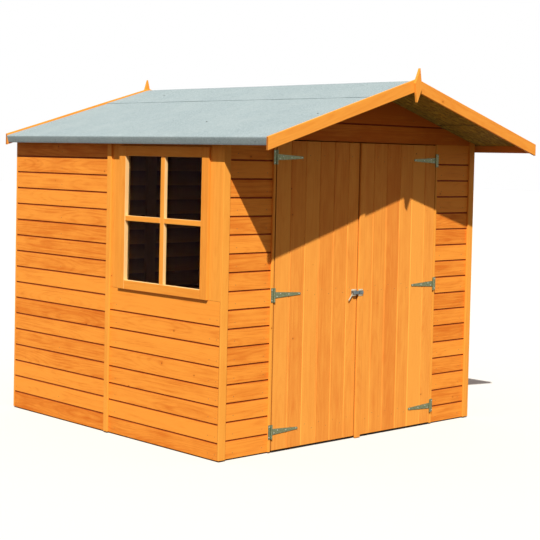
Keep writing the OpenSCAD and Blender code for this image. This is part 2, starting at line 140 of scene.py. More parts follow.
def softwood_figure():
    """Rings, fibre, patches and knots of softwood, from a place along, across and through a board."""
    group = bpy.data.node_groups.new("Softwood figure", "ShaderNodeTree")
    open_sockets(group, "INPUT", {"Grain": "Vector", "Tone": "Float", "Figure": "Float", "Knots": "Float"})
    open_sockets(group, "OUTPUT", {"Shade": "Float", "Knot": "Float", "Relief": "Float"})
    given = add(group, "NodeGroupInput").outputs
    along, across, through = parted(group, given["Grain"])

    # Knots: some of the cells of a 140 mm pattern hold one, 5 to 13 mm across
    per_metre = 7.0
    flat = add(group, "ShaderNodeCombineXYZ", {0: along, 1: across})
    feeds = {"Vector": flat.outputs[0], "Scale": per_metre}
    cells = add(group, "ShaderNodeTexVoronoi", feeds, voronoi_dimensions="2D")
    chance, size, _ = parted(group, cells.outputs["Color"])
    radius = fade(group, size, 0.0, 1.0, 0.0025, 0.0065)
    distance = calc(group, "DIVIDE", cells.outputs["Distance"], per_metre)
    near = calc(group, "DIVIDE", distance, radius)
    present = calc(group, "LESS_THAN", chance, given["Knots"])
    knot = calc(group, "MULTIPLY", fade(group, near, 1.0, 0.6), present)
    halo = calc(group, "MULTIPLY", fade(group, near, 3.2, 0.9), present)

    # Rings: distance from a pith that lies behind the board and drifts along it
    drift = mottle(group, stretched(group, given["Grain"], 0.9, 0.0), 1.0, 1.0)
    depth = calc(group, "MULTIPLY_ADD", drift, 0.11, through)
    sway = mottle(group, stretched(group, given["Grain"], 2.6, 9.0), 1.0, 2.0)
    aside = calc(group, "MULTIPLY_ADD", sway, 0.014, across)
    aside = calc(group, "MULTIPLY_ADD", halo, 0.005, aside)
    squared = calc(group, "MULTIPLY_ADD", aside, aside, calc(group, "MULTIPLY", depth, depth))
    turns = calc(group, "MULTIPLY", calc(group, "SQRT", squared), 2 * math.pi / 0.0062)
    rings = fade(group, calc(group, "SINE", turns), -0.1, 1.0)

    fibre = mottle(group, stretched(group, given["Grain"], 9.0, 380.0), 1.0, 3.0, 0.65)
    patch = mottle(group, stretched(group, given["Grain"], 5.0, 16.0), 1.0, 3.0)
    streak = mottle(group, stretched(group, given["Grain"], 1.6, 70.0), 1.0, 2.0)
    figure = calc(group, "MULTIPLY", calc(group, "SUBTRACT", rings, 0.4), 0.09)
    for layer, weight in ((fibre, 0.6), (patch, 0.55), (streak, 0.5)):
        figure = calc(group, "MULTIPLY_ADD", calc(group, "SUBTRACT", layer, 0.5), weight, figure)
    shade = calc(group, "MULTIPLY_ADD", figure, given["Figure"], given["Tone"])
    shade = calc(group, "MULTIPLY_ADD", halo, 0.12, shade)
    relief = calc(group, "MULTIPLY_ADD", rings, 0.4, calc(group, "MULTIPLY", fibre, 0.6))
    feeds = {"Shade": fade(group, shade, 0.0, 1.0), "Knot": knot, "Relief": relief}
    add(group, "NodeGroupOutput", feeds)
    return group


softwood = softwood_figure()


def stained_timber(name, pale, deep, figure=1.0, knots=0.12, roughness=0.6, relief=0.25):
    """Softwood under a stain that runs from pale to deep with the figure, and pools in the hollows."""
    made, tree, shader = new_finish(name)
    board = {key: add(tree, "ShaderNodeAttribute", attribute_name=key).outputs
             for key in ("grain", "tone", "pooled", "end_grain_and_edge_shade", "painted_reveal_highlight")}
    feeds = {"Grain": board["grain"]["Vector"], "Tone": board["tone"]["Fac"],
             "Figure": figure, "Knots": knots}
    wood = add(tree, "ShaderNodeGroup", feeds, node_tree=softwood).outputs
    colour = tint(tree, wood["Shade"], paint(*pale), paint(*deep))
    colour = tint(tree, calc(tree, "MULTIPLY", wood["Knot"], 0.55), colour, paint(128, 56, 16))
    # End grain takes up more stain and darkens; the doors' cut side edges share this darkening as painted
    # shade for the gaps beside them
    colour = tint(tree, calc(tree, "MULTIPLY", board["end_grain_and_edge_shade"]["Fac"], 0.6), colour, paint(132, 58, 16))
    colour = tint(tree, board["pooled"]["Fac"], colour, paint(150, 62, 16))
    # Pale cream painted highlight on the faces marked for it, the window's reveals and the sides of its bars
    colour = tint(tree, board["painted_reveal_highlight"]["Fac"], colour, paint(255, 214, 150))
    feed(tree, shader, {"Base Color": colour, "Normal": bumped(tree, wood["Relief"], relief, 0.0008),
                        "Roughness": fade(tree, wood["Shade"], 0.0, 1.0, roughness, roughness + 0.12),
                        "Specular IOR Level": 0.15})
    return made


# ---- timbers and pieces ----
# Short ways to shape meshes, and the dressing that turns a timber of the frame into a planed board.

def timber_parts(node_name):
    """The separate timbers of a CAD node, each as a mesh of its own with whole faces."""
    whole = bmesh.new()
    whole.from_mesh(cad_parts[node_name].data)
    bmesh.ops.remove_doubles(whole, verts=whole.verts, dist=0.00002)
    bmesh.ops.dissolve_limit(whole, angle_limit=0.02, verts=whole.verts, edges=whole.edges)
    waiting = dict.fromkeys(whole.verts)
    parts = []
    while waiting:
        found = [waiting.popitem()[0]]
        for corner in found:
            for edge in corner.link_edges:
                other = edge.other_vert(corner)
                if other in waiting:
                    del waiting[other]
                    found.append(other)
        part = bmesh.new()
        copies = {corner: part.verts.new(corner.co) for corner in found}
        for face in dict.fromkeys(face for corner in found for face in corner.link_faces):
            part.faces.new([copies[corner] for corner in face.verts])
        bmesh.ops.recalc_face_normals(part, faces=part.faces)
        parts.append(part)
    whole.free()
    parts.sort(key=lambda part: min(tuple(round(x, 4) for x in v.co) for v in part.verts))
    return parts


def ease(part, arris, sharp=0.6):
    """Rounds off the edges of a part that turn by more than the sharp angle."""
    corners = [edge for edge in part.edges if edge.calc_face_angle(0) > sharp]
    bmesh.ops.bevel(part, geom=corners, offset=arris, offset_type="OFFSET", segments=2,
                    profile=0.5, affect="EDGES", clamp_overlap=True)


def joined(parts):
    """Several parts as one shell, which takes their place."""
    passing = bpy.data.meshes.new("passing")
    whole = bmesh.new()
    for part in parts:
        part.to_mesh(passing)
        whole.from_mesh(passing)
        part.free()
    bpy.data.meshes.remove(passing)
    return whole


def sides_between(shell, near, far):
    """Makes the faces between two rings of corners."""
    made = []
    for k in range(len(near)):
        n = (k + 1) % len(near)
        made.append(shell.faces.new((near[k], near[n], far[n], far[k])))
    return made


def solid_between(shell, near, far):
    """A closed solid between two rings of corners."""
    sides_between(shell, near, far)
    shell.faces.new(near)
    shell.faces.new(list(reversed(far)))


def placed(name, data):
    """A new object in the scene."""
    made = bpy.data.objects.new(name, data)
    bpy.context.scene.collection.objects.link(made)
    return made


def piece(name, mesh, body, replaced=()):
    """A finished mesh as a piece of the shed: it rides on a body and stands for CAD nodes."""
    made = placed(name, mesh)
    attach(made, body)
    if replaced:
        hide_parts(*replaced)
    return made


def shaped(name, shell, finishes, body, replaced=(), crease=None):
    """A piece from a closed shell, in one or more finishes; edges under the crease angle look smooth."""
    if crease:
        for face in shell.faces:
            face.smooth = True
        for edge in shell.edges:
            edge.smooth = edge.calc_face_angle(0) < crease
    mesh = bpy.data.meshes.new(name)
    shell.to_mesh(mesh)
    shell.free()
    for finish in finishes:
        mesh.materials.append(finish)
    return piece(name, mesh, body, replaced)


bow_spacing = 0.1


def dressed(name, node_name, body, finish, arris=0.0016, bow=0.0006, tones=(0.15, 0.5), run=None,
            painted_highlight=None):
    """A CAD node's timbers with eased arrises, uneven faces and grain, and a share of painted highlight on
    faces that a given function picks.
    """
    dice = random.Random(name)
    parts = timber_parts(node_name)
    for part in parts:
        longest = max(part.edges, key=lambda edge: edge.calc_length())
        along = run or (longest.verts[1].co - longest.verts[0].co).normalized()
        sides = [face for face in part.faces if abs(face.normal.dot(along)) < 0.5]
        through = max(sides, key=lambda face: face.calc_area()).normal.copy()
        across = through.cross(along)
        reach = [along.dot(corner.co) for corner in part.verts]
        middle = sum((corner.co for corner in part.verts), Vector()) / len(part.verts)
        for step in range(1, int((max(reach) - min(reach)) / bow_spacing)):
            everything = part.verts[:] + part.edges[:] + part.faces[:]
            bmesh.ops.bisect_plane(part, geom=everything, plane_no=along,
                                   plane_co=along * (min(reach) + step * bow_spacing))
        end_grain_and_edge_shade = part.faces.layers.float.new("end_grain_and_edge_shade")
        highlight_layer = part.faces.layers.float.new("painted_reveal_highlight")
        ease(part, arris, 0.3)
        for face in part.faces:
            face[end_grain_and_edge_shade] = 1.0 if abs(face.normal.dot(along)) > 0.8 else 0.0
            face[highlight_layer] = painted_highlight(face.calc_center_median(), face.normal) if painted_highlight else 0.0
        grain = part.verts.layers.float_vector.new("grain")
        tone = part.verts.layers.float.new("tone")
        part.verts.layers.float.new("pooled")
        own_tone = dice.uniform(*tones)
        log = Vector((dice.uniform(0, 60), dice.uniform(-0.03, 0.03), dice.uniform(0.01, 0.06)))
        for corner in part.verts:
            far = corner.co - middle
            place = Vector((along.dot(far), across.dot(far), through.dot(far)))
            corner[grain] = place + log
            corner[tone] = own_tone
            wave = noise.noise_vector(Vector((place.x * 2.4 + log.x, log.y * 100, 0)))
            corner.co += across * (wave.x * bow) + through * (wave.y * bow * 0.5)
    return shaped(name, joined(parts), [finish], body, [node_name])


# ---- floor bearers ----
# Five sawn softwood bearers lie on the ground and carry the floor. They are dipped in the same orange
# stain as the rest, and their arrises are left nearly sharp from the saw.

sawn_stained = stained_timber("sawn_stained", (226, 140, 58), (168, 86, 26), figure=1.3,
                              roughness=0.75, relief=0.6)
dressed("floor_bearer_timbers", "floor_bearers", "root", sawn_stained, arris=0.001)


# ---- floor and roof sheets ----
# Thin strand board, made of pressed flakes that lie in every direction. The floor is nailed down in two
# sheets. Each roof slope has a wide upper sheet and a narrow lower one, with a ragged joint between.

def strand_board():
    """Pressed wood flakes: three layers of long cells that cross each other, with dark gaps, and painted
    shade on the ragged edges inside the sheets' joints.
    """
    made, tree, shader = new_finish("strand_board")
    place = object_place(tree)
    colour = paint(150, 126, 46)
    height = None
    for turn, light, dark in ((0.3, (184, 158, 62), (120, 98, 28)), (1.4, (198, 172, 72), (132, 108, 32)),
                              (2.5, (176, 146, 52), (112, 88, 24))):
        feeds = {"Vector": place, "Rotation": (0.0, 0.0, turn), "Scale": (30.0, 74.0, 30.0)}
        turned = add(tree, "ShaderNodeMapping", feeds).outputs[0]
        flakes = add(tree, "ShaderNodeTexVoronoi", {"Vector": turned, "Scale": 1.0})
        chance = parted(tree, flakes.outputs["Color"])
        flake = tint(tree, chance[1], paint(*dark), paint(*light))
        share = fade(tree, chance[0], 0.45, 0.55)
        colour = tint(tree, share, colour, flake)
        edge = fade(tree, flakes.outputs["Distance"], 0.5, 0.1)
        height = edge if height is None else calc(tree, "MULTIPLY_ADD", share, edge, height)
    damp = mottle(tree, place, 2.2, 3.0)
    colour = tint(tree, fade(tree, damp, 0.45, 0.75, 0.0, 0.35), colour, paint(96, 70, 34))
    torn_edge_shade = add(tree, "ShaderNodeAttribute", attribute_name="torn_edge_shade").outputs["Fac"]
    # The ragged edge faces inside the joints are painted near black, as painted shade in the gap
    colour = tint(tree, torn_edge_shade, colour, paint(34, 24, 14))
    feed(tree, shader, {"Base Color": colour, "Normal": bumped(tree, height, 0.5, 0.0012),
                        "Roughness": 0.85, "Specular IOR Level": 0.2})
    return made


sheet_finish = strand_board()
sheet_gap = 0.009
tear_spacing = 0.014


def sheet_board(mesh, y0, y1, edges, thickness, under, ragged=0.005):
    """One sheet between two edges given as (place across, how ragged), lying over the heights under()."""
    steps = round((y1 - y0) / tear_spacing)
    rows = []
    for step in range(steps + 1):
        y = y0 + (y1 - y0) * step / steps
        row = []
        for (x, rough), lifts in zip(edges, ((0, thickness), (thickness, 0))):
            wear = noise.noise(Vector((x * 9, y * 38, 0))) + 0.7 * noise.noise(Vector((x * 5, y * 120, 1)))
            x += wear * ragged * rough
            row += [mesh.verts.new((x, y, under(x) + lift)) for lift in lifts]
        rows.append(row)
    torn_edge_shade = mesh.faces.layers.float.get("torn_edge_shade") or mesh.faces.layers.float.new("torn_edge_shade")
    for near, far in zip(rows, rows[1:]):
        for face, rough in zip(sides_between(mesh, near, far), (edges[0][1], 0, edges[1][1], 0)):
            face[torn_edge_shade] = rough
    mesh.faces.new(rows[0])
    mesh.faces.new(list(reversed(rows[-1])))


def sheet_piece(name, node_name, sheets, thickness, under):
    """The sheets of one CAD node as one piece."""
    low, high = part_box(node_name)
    whole = bmesh.new()
    for edges in sheets:
        sheet_board(whole, low.y, high.y, edges, thickness, under)
    bmesh.ops.recalc_face_normals(whole, faces=whole.faces)
    return shaped(name, whole, [sheet_finish], "root", [node_name])


floor_low, floor_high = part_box("floor_sheet")
sheet_piece("floor_boards", "floor_sheet",
            [((floor_low.x, 0), (-0.001, 0.1)), ((0.001, 0.1), (floor_high.x, 0))],
            floor_high.z - floor_low.z, lambda x: floor_low.z)

roof_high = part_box("roof_sheet_right")[1]
roof_pitch = math.radians(16.75)
roof_sheet_t = 0.010
sheet_plumb = roof_sheet_t / math.cos(roof_pitch)
sheet_rise = math.tan(roof_pitch)
sheet_joint_x = 0.70


def roof_under(x):
    """Height of the roof sheets' underside, at a distance from the ridge."""
    return roof_high.z - sheet_plumb - abs(x) * sheet_rise


for side, side_name in ((-1, "left"), (1, "right")):
    upper = ((side * 0.0005, 0), (side * (sheet_joint_x - sheet_gap / 2), 1))
    lower = ((side * (sheet_joint_x + sheet_gap / 2), 1), (side * (roof_high.x - 0.003), 0))
    sheet_piece(f"roof_boarding_{side_name}", f"roof_sheet_{side_name}", [upper, lower],
                sheet_plumb, roof_under)


# ---- shiplap cladding ----
# Horizontal softwood boards, planed and dip stained, nailed to the framing behind. Each board's lip covers
# the tongue of the board below it, and the hollow under the lip makes the dark line of the joint.

def hand_out(tree, name, geometry, finish):
    """Ends a Geometry Nodes tree with real geometry in one finish."""
    real = add(tree, "GeometryNodeRealizeInstances", {"Geometry": geometry}).outputs[0]
    finished = add(tree, "GeometryNodeSetMaterial", {"Geometry": real, "Material": finish}).outputs[0]
    add(tree, "NodeGroupOutput", {name: finished})
    return tree


def boards_tree():
    """Sweeps a board's section along each set-out line, as wide as that board's own cover."""
    tree = bpy.data.node_groups.new("Boards from a section", "GeometryNodeTree")
    open_sockets(tree, "INPUT", {"Lines": "Geometry", "Section": "Object", "Section cover": "Float",
                                 "Ring spacing": "Float", "Bow": "Float", "Seed": "Float",
                                 "Finish": "Material"})
    open_sockets(tree, "OUTPUT", {"Boards": "Geometry"})
    given = add(tree, "NodeGroupInput").outputs

    def read(name, kind="FLOAT"):
        return add(tree, "GeometryNodeInputNamedAttribute", {"Name": name}, data_type=kind).outputs[0]

    def store(geometry, name, value, kind="FLOAT"):
        feeds = {"Geometry": geometry, "Name": name, "Value": value}
        return add(tree, "GeometryNodeStoreNamedAttribute", feeds, data_type=kind).outputs[0]

    def vector(operation, *terms, scale=None):
        feeds = dict(enumerate(terms))
        if scale is not None:
            feeds["Scale"] = scale
        return add(tree, "ShaderNodeVectorMath", feeds, operation=operation).outputs[0]

    lines = add(tree, "GeometryNodeMeshToCurve", {"Mesh": given["Lines"]}).outputs[0]
    lines = add(tree, "GeometryNodeResampleCurve",
                {"Curve": lines, "Length": given["Ring spacing"]}, mode="LENGTH").outputs[0]
    length = add(tree, "GeometryNodeSplineParameter").outputs["Length"]
    lines = store(lines, "length", length)
    lines = store(lines, "rail", add(tree, "GeometryNodeInputPosition").outputs[0], "FLOAT_VECTOR")
    section = add(tree, "GeometryNodeObjectInfo", {"Object": given["Section"]}).outputs["Geometry"]
    section = add(tree, "GeometryNodeMeshToCurve", {"Mesh": section}).outputs[0]
    feeds = {"Curve": lines, "Profile Curve": section, "Fill Caps": True}
    swept = add(tree, "GeometryNodeCurveToMesh", feeds).outputs[0]

    # The part of the section past its middle moves out to the board's own cover
    spare = calc(tree, "SUBTRACT", read("cover"), given["Section cover"])
    past = calc(tree, "GREATER_THAN", read("w"), calc(tree, "MULTIPLY", given["Section cover"], 0.5))
    across = calc(tree, "MULTIPLY_ADD", spare, past, read("w"))
    beat = add(tree, "ShaderNodeCombineXYZ", {0: calc(tree, "MULTIPLY", read("length"), 2.6),
                                              1: calc(tree, "MULTIPLY", read("number"), 3.7),
                                              2: given["Seed"]}).outputs[0]
    sway = add(tree, "ShaderNodeTexNoise", {"Vector": beat, "Scale": 1.0, "Detail": 2.0})
    lean, swell, _ = parted(tree, sway.outputs["Color"])
    swayed = calc(tree, "MULTIPLY_ADD", calc(tree, "SUBTRACT", lean, 0.5), given["Bow"], across)
    swell = calc(tree, "MULTIPLY", calc(tree, "SUBTRACT", swell, 0.5), given["Bow"])
    face = calc(tree, "GREATER_THAN", read("t"), 0.004)
    out = calc(tree, "MULTIPLY_ADD", calc(tree, "MULTIPLY", swell, 0.4), face, read("t"))
    spot = vector("ADD", vector("SCALE", read("up", "FLOAT_VECTOR"), scale=swayed),
                  vector("SCALE", read("out", "FLOAT_VECTOR"), scale=out))
    spot = vector("ADD", spot, read("rail", "FLOAT_VECTOR"))
    boards = add(tree, "GeometryNodeSetPosition", {"Geometry": swept, "Position": spot}).outputs[0]
    place = add(tree, "ShaderNodeCombineXYZ", {0: read("length"), 1: across, 2: read("t")}).outputs[0]
    grain = vector("ADD", place, read("log", "FLOAT_VECTOR"))
    boards = store(boards, "grain", grain, "FLOAT_VECTOR")
    return hand_out(tree, "Boards", boards, given["Finish"])


boards_from_section = boards_tree()


def loose_object(name, points, edges, values):
    """A helper object of points and edges, with a value for each point under each attribute name."""
    mesh = bpy.data.meshes.new(name)
    mesh.from_pydata(points, edges, [])
    for key, column in values.items():
        is_vector = hasattr(column[0], "__len__")
        layer = mesh.attributes.new(key, "FLOAT_VECTOR" if is_vector else "FLOAT", "POINT")
        flat = [x for value in column for x in value] if is_vector else column
        layer.data.foreach_set("vector" if is_vector else "value", flat)
    return placed(name, mesh)


def grown(tree, base, inputs, drop=()):
    """Runs a Geometry Nodes tree on a helper object and gives back the result as a plain mesh."""
    modifier = base.modifiers.new(tree.name, "NODES")
    modifier.node_group = tree
    sockets = {item.name: item.identifier for item in tree.interface.items_tree if item.in_out == "INPUT"}
    for name, value in inputs.items():
        modifier[sockets[name]] = value
    base.update_tag()
    shown = base.evaluated_get(bpy.context.evaluated_depsgraph_get())
    mesh = bpy.data.meshes.new_from_object(shown)
    base.modifiers.remove(modifier)
    bpy.data.objects.remove(base)
    for name in drop:
        if name in mesh.attributes:
            mesh.attributes.remove(mesh.attributes[name])
    return mesh


def section_object(name, points, pooled):
    """A board's section as a closed loop, from its inner lower corner; pooled is the stain in each corner."""
    flat = [(w, t, 0.0) for w, t in points]
    edges = [(k, (k + 1) % len(points)) for k in range(len(points))]
    values = {"w": [w for w, _ in points], "t": [t for _, t in points], "pooled": pooled}
    return loose_object(name, flat, edges, values)


def lay_boards(name, node_name, body, finish, section, cover, courses, cuts, tones, bow=0.0012):
    """Boards on set-out lines (start, end, across, out, cover), trimmed by planes (point, outward normal)."""
    dice = random.Random(name)
    points, edges, values = [], [], {key: [] for key in ("up", "out", "cover", "tone", "log", "number")}
    for number, (start, end, up, out, own_cover) in enumerate(courses):
        edges.append((len(points), len(points) + 1))
        points += [start, end]
        log = (dice.uniform(0, 60), dice.uniform(-0.09, 0.0), dice.uniform(0.01, 0.05))
        tone = dice.uniform(*tones)
        for key, value in (("up", up), ("out", out), ("cover", own_cover), ("tone", tone),
                           ("log", log), ("number", float(number))):
            values[key] += [tuple(value), tuple(value)] if hasattr(value, "__len__") else [value, value]
    lines = loose_object(name + "_lines", points, edges, values)
    inputs = {"Section": section, "Section cover": cover, "Ring spacing": 0.07, "Bow": bow,
              "Seed": dice.uniform(0, 50), "Finish": finish}
    drop = ("up", "out", "cover", "log", "number", "length", "rail", "w", "t")
    mesh = grown(boards_from_section, lines, inputs, drop)
    whole = bmesh.new()
    whole.from_mesh(mesh)
    sawn = [(end - start).normalized() for start, end, *_ in courses[:1]]
    for spot, outward in cuts:
        everything = whole.verts[:] + whole.edges[:] + whole.faces[:]
        cut = bmesh.ops.bisect_plane(whole, geom=everything, plane_co=spot, plane_no=outward,
                                     clear_outer=True)
        rim = [item for item in cut["geom_cut"] if isinstance(item, bmesh.types.BMEdge)]
        bmesh.ops.holes_fill(whole, edges=rim, sides=0)
        sawn.append(outward)
    bmesh.ops.recalc_face_normals(whole, faces=whole.faces)
    # Board ends are end grain, and the doors' cut side edges get the same darkening as painted shade for the
    # gaps beside them
    end_grain_and_edge_shade = whole.faces.layers.float.new("end_grain_and_edge_shade")
    for face in whole.faces:
        face.smooth = True
        face[end_grain_and_edge_shade] = 1.0 if any(abs(face.normal.dot(way)) > 0.99 for way in sawn) else 0.0
    for edge in whole.edges:
        edge.smooth = edge.calc_face_angle(0) < 0.5
    whole.to_mesh(mesh)
    whole.free()
    mesh.name = name
    return piece(name, mesh, body, [node_name])


shiplap_cover = 0.1013
shiplap_lip = 0.0085
hollow_h = 0.0098
tongue_t = 0.006
rear_low, rear_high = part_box("left_rear_cladding")
cladding_t = rear_high.x - rear_low.x


def shiplap_section():
    """Lip and rebate at the foot, a flat face, and a round hollow under a thin tongue at the top."""
    arris = 0.0008
    joint = tongue_t + 0.0004
    face = [(0.0, joint), (0.0, cladding_t - arris), (arris, cladding_t)]
    hollow = []
    for step in range(6):
        angle = math.radians(90 * step / 5)
        hollow.append((shiplap_cover - hollow_h * math.cos(angle),
                       cladding_t - (cladding_t - tongue_t) * math.sin(angle)))
    top = shiplap_cover + shiplap_lip - 0.0006
    back = [(top, tongue_t), (top, 0.0), (shiplap_lip, 0.0), (shiplap_lip, joint)]
    pooled = [0.5, 0.15, 0.0, 0.0, 0.75, 0.95, 1.0, 1.0, 1.0, 1.0, 1.0, 0.0, 0.0]
    return section_object("shiplap_section", face + hollow + back, pooled)


shiplap = shiplap_section()
stained_cladding = stained_timber("stained_cladding", (251, 159, 59), (217, 113, 31), figure=1.5)


sawn_off = 0.02


def covers_up(height, dice, first=0.0025):
    """The boards' covers up a wall. The last is over half a board, with a spare edge to be sawn off."""
    covers = [shiplap_cover + first]
    while height - sum(covers) > shiplap_cover * 0.5:
        covers.append(shiplap_cover + dice.uniform(-0.0015, 0.0015))
    rest = height - sum(covers[:-1])
    return covers[:-1] + [rest + sawn_off]


def roof_cut(side):
    """The plane just under one roof slope, for trimming what stands below it."""
    return (Vector((0, 0, roof_under(0) - 0.0003)),
            Vector((side * sheet_rise, 0, 1)).normalized())


upward = Vector((0, 0, 1))
cladding_nails = []
nail_up = 0.03
nail_room = 0.02
end_gap = 0.0005


def clad(node_name, out, stops, slopes=(), covers=None, tones=(0.12, 0.62)):
    """Shiplap and its nails on one CAD node, facing out, and cut to the roof slopes or level on top.

    The stops are nail places along a board: from its start, from its end if below 0, or midway if None.
    """
    low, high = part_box(node_name)
    run = Vector((abs(out.y), abs(out.x), 0))
    start, end = low + run * end_gap, high - run * end_gap
    facing = 0 if out.x else 1
    start[facing] = end[facing] = (low if out[facing] > 0 else high)[facing]
    end.z = start.z
    span = run.dot(high - low)
    covers = covers or covers_up(high.z - low.z, random.Random(node_name + " covers"))
    courses = []
    for cover in covers:
        courses.append((start.copy(), end.copy(), upward, out, cover))
        for stop in stops:
            along = span / 2 if stop is None else stop % span
            spot = start + run * along + upward * min(nail_up, cover / 3) + out * cladding_t
            if spot.z < roof_under(spot.x) - nail_room:
                cladding_nails.append((spot, out))
        start.z += cover
        end.z += cover
    cuts = [roof_cut(side) for side in slopes] or [(Vector((0, 0, high.z)), upward)]
    lay_boards(node_name.replace("cladding", "shiplap"), node_name, "root", stained_cladding,
               shiplap, shiplap_cover, courses, cuts, tones)


leftward, rightward = Vector((-1, 0, 0)), Vector((1, 0, 0))
frontward, backward = Vector((0, -1, 0)), Vector((0, 1, 0))
for node_name, out in (("left_rear_cladding", leftward), ("right_rear_cladding", rightward),
                       ("right_front_cladding", rightward)):
    clad(node_name, out, (0.021, None, -0.021), [out.x])

# The boards under the window come from a mixed bundle, with covers from 97 to 114 mm
clad("left_window_cladding", leftward, (0.021, 0.08, 0.92, 0.976),
     covers=[0.0965, 0.1015, 0.098, 0.101, 0.112, 0.114, 0.107, 0.150], tones=(0.0, 0.6))
for node_name in ("front_left_cladding", "front_right_cladding"):
    clad(node_name, frontward, (0.07, -0.055))

# The gable has one board over the doorway and one wide board above it, in the deepest stain, deepened further
# as painted shade under the canopy
clad("front_gable_cladding", frontward, (0.1, 0.55, 1.03, 1.5, 1.95), (-1, 1), [0.110, 0.26], (0.75, 0.9))
for node_name, side in (("back_left_cladding", -1), ("back_right_cladding", 1)):
    clad(node_name, backward, (0.06, 0.513, 0.966), [side])
bpy.data.objects.remove(shiplap)


# ---- trims, battens and strips ----
# Planed boards beside and over the window, battens over the panel joints, strips over the corners and
# beside the doors. They took less stain than the cladding, so they are paler and yellower.

stained_trim = stained_timber("stained_trim", (247, 166, 66), (226, 132, 42), figure=0.9, knots=0.16)
for name, node_name in (("window_trim_boards", "left_window_trims"), ("joint_battens", "side_wall_battens"),
                        ("back_joint_batten", "back_wall_batten"),
                        ("back_corner_boards", "back_corner_strips"),
                        ("front_corner_boards", "front_corner_strips"),
                        ("jamb_boards", "door_jamb_strips")):
    dressed(name, node_name, "root", stained_trim, tones=(0.15, 0.45))


# ---- wall framing ----
# Rails, posts, headers and raking rails of planed softwood, nailed together into panels. It shows
# through the window and the open doors, in a duller coat of the stain.

stained_framing = stained_timber("stained_framing", (236, 152, 70), (196, 110, 42), figure=1.1, knots=0.35,
                                 roughness=0.7)
for node_name in ("left_wall_frame", "right_wall_frame", "back_wall_frame", "front_wall_frame"):
    dressed(node_name + "_timbers", node_name, "root", stained_framing, arris=0.0012)


# ---- window ----
# A joined softwood sash, fixed in its opening: two stiles and two rails with an upright bar and cross
# bars in front of one sheet of thin clear glazing.

sash_low, sash_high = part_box("window_frame")
sash_middle = (sash_low + sash_high) / 2


def sash_reveal_highlight(spot, outward):
    """Painted highlight, pale cream, on the edges that face the panes."""
    return 0.8 if abs(outward.x) < 0.5 and outward.dot(sash_middle - spot) > 0 else 0.0


def bar_side_highlight(spot, outward):
    """Painted highlight, pale cream, on the sides of the bars."""
    return 0.8 if abs(outward.x) < 0.5 else 0.0


# The reveals round the panes and the sides of the bars get a painted highlight
dressed("window_sash", "window_frame", "root", stained_trim, arris=0.002, tones=(0.4, 0.55),
        painted_highlight=sash_reveal_highlight)
dressed("window_bars", "window_glazing_bars", "root", stained_trim, arris=0.002,
        bow=0.0003, tones=(0.3, 0.45), painted_highlight=bar_side_highlight)


def clear_glazing():
    """Thin clear sheet that reflects little, with its reflections painted deep red."""
    made, tree, shader = new_finish("clear_glazing")
    place = object_place(tree)
    smears = mottle(tree, place, 9.0, 4.0)
    # The Specular Tint paints the reflections deep red, a painted reflection that keeps the panes dark
    # red-brown
    feed(tree, shader, {"Roughness": fade(tree, smears, 0.5, 0.8, 0.015, 0.06),
                        "Base Color": paint(190, 182, 172), "Transmission Weight": 1.0, "IOR": 1.1,
                        "Specular IOR Level": 0.5, "Specular Tint": (1.0, 0.05, 0.01, 1.0)})
    return made


dressed("window_pane", "window_glass", "root", clear_glazing(), arris=0.0004, bow=0.0)


# ---- doors ----
# Each door is a row of tongued and grooved upright boards with a small V at each joint, nailed to three
# ledges and two braces behind. A planed strip stands along the right door's meeting edge.

door_cover = 0.117
front_low, front_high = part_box("left_door_boards")
door_t = front_high.y - front_low.y


def matchboard_section():
    """A board with a groove on one edge, a tongue on the other and both front corners taken off."""
    corner = 0.004
    edge = door_cover - 0.0005
    tongue = 0.0045
    points = [(0.0, 0.0), (0.0, 0.0028), (0.005, 0.0028), (0.005, 0.0066), (0.0, 0.0066),
              (0.0, door_t - corner), (corner, door_t), (edge - corner, door_t),
              (edge, door_t - corner), (edge, 0.0064), (edge + tongue, 0.0064),
              (edge + tongue, 0.0030), (edge, 0.0030), (edge, 0.0)]
    pooled = [0.0, 0.0, 0.8, 0.8, 0.8, 0.0, 0.0, 0.0, 0.4, 0.8, 0.8, 0.8, 0.0, 0.0]
    return section_object("matchboard_section", points, pooled)


def three_heights(low, high, half_h):
    """The middles of three equal parts in a box: one at its foot, one midway and one at its top."""
    return [low.z + half_h + share * (high.z - low.z - 2 * half_h) for share in (0.0, 0.5, 1.0)]


matchboard = matchboard_section()
stained_doors = stained_timber("stained_doors", (248, 166, 70), (228, 132, 50), figure=1.15, knots=0.12)
door_nails = {"left_door": [], "right_door": []}
ledge_half_h = 0.035
for body, covers in (("left_door", [0.114, 0.115, 0.115, 0.116, 0.118]),
                     ("right_door", [0.127, 0.115, 0.120, 0.110, 0.118])):
    low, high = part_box(body + "_boards")
    ledge_low, ledge_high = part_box(body + "_ledges")
    trim = 0.009
    covers[0] += trim
    covers.append(high.x - low.x + trim - sum(covers) + sawn_off)
    x = low.x - trim
    courses = []
    for cover in covers:
        courses.append((Vector((x, high.y, low.z)), Vector((x, high.y, high.z)),
                        rightward, frontward, cover))
        for z in three_heights(ledge_low, ledge_high, ledge_half_h):
            for share, lift in ((0.25, 0.014), (0.75, -0.014)):
                spot = Vector((x + share * cover, low.y, z + lift))
                if ledge_low.x + 0.01 < spot.x < ledge_high.x - 0.01:
                    door_nails[body].append((spot, frontward))
        x += cover
    # The cut side edges are darkened as painted shade for the gaps at the jambs and the meeting edge
    sides = [(low, leftward), (high, rightward)]
    lay_boards(body + "_matchboards", body + "_boards", body, stained_doors, matchboard,
               door_cover, courses, sides, (0.05, 0.7), bow=0.0006)
    dressed(body + "_ledges_and_braces", body + "_ledges", body, stained_framing, arris=0.002)
bpy.data.objects.remove(matchboard)
dressed("right_door_cover_strip", "right_door_meeting_strip", "right_door", stained_doors,
        arris=0.003, tones=(0.35, 0.45))


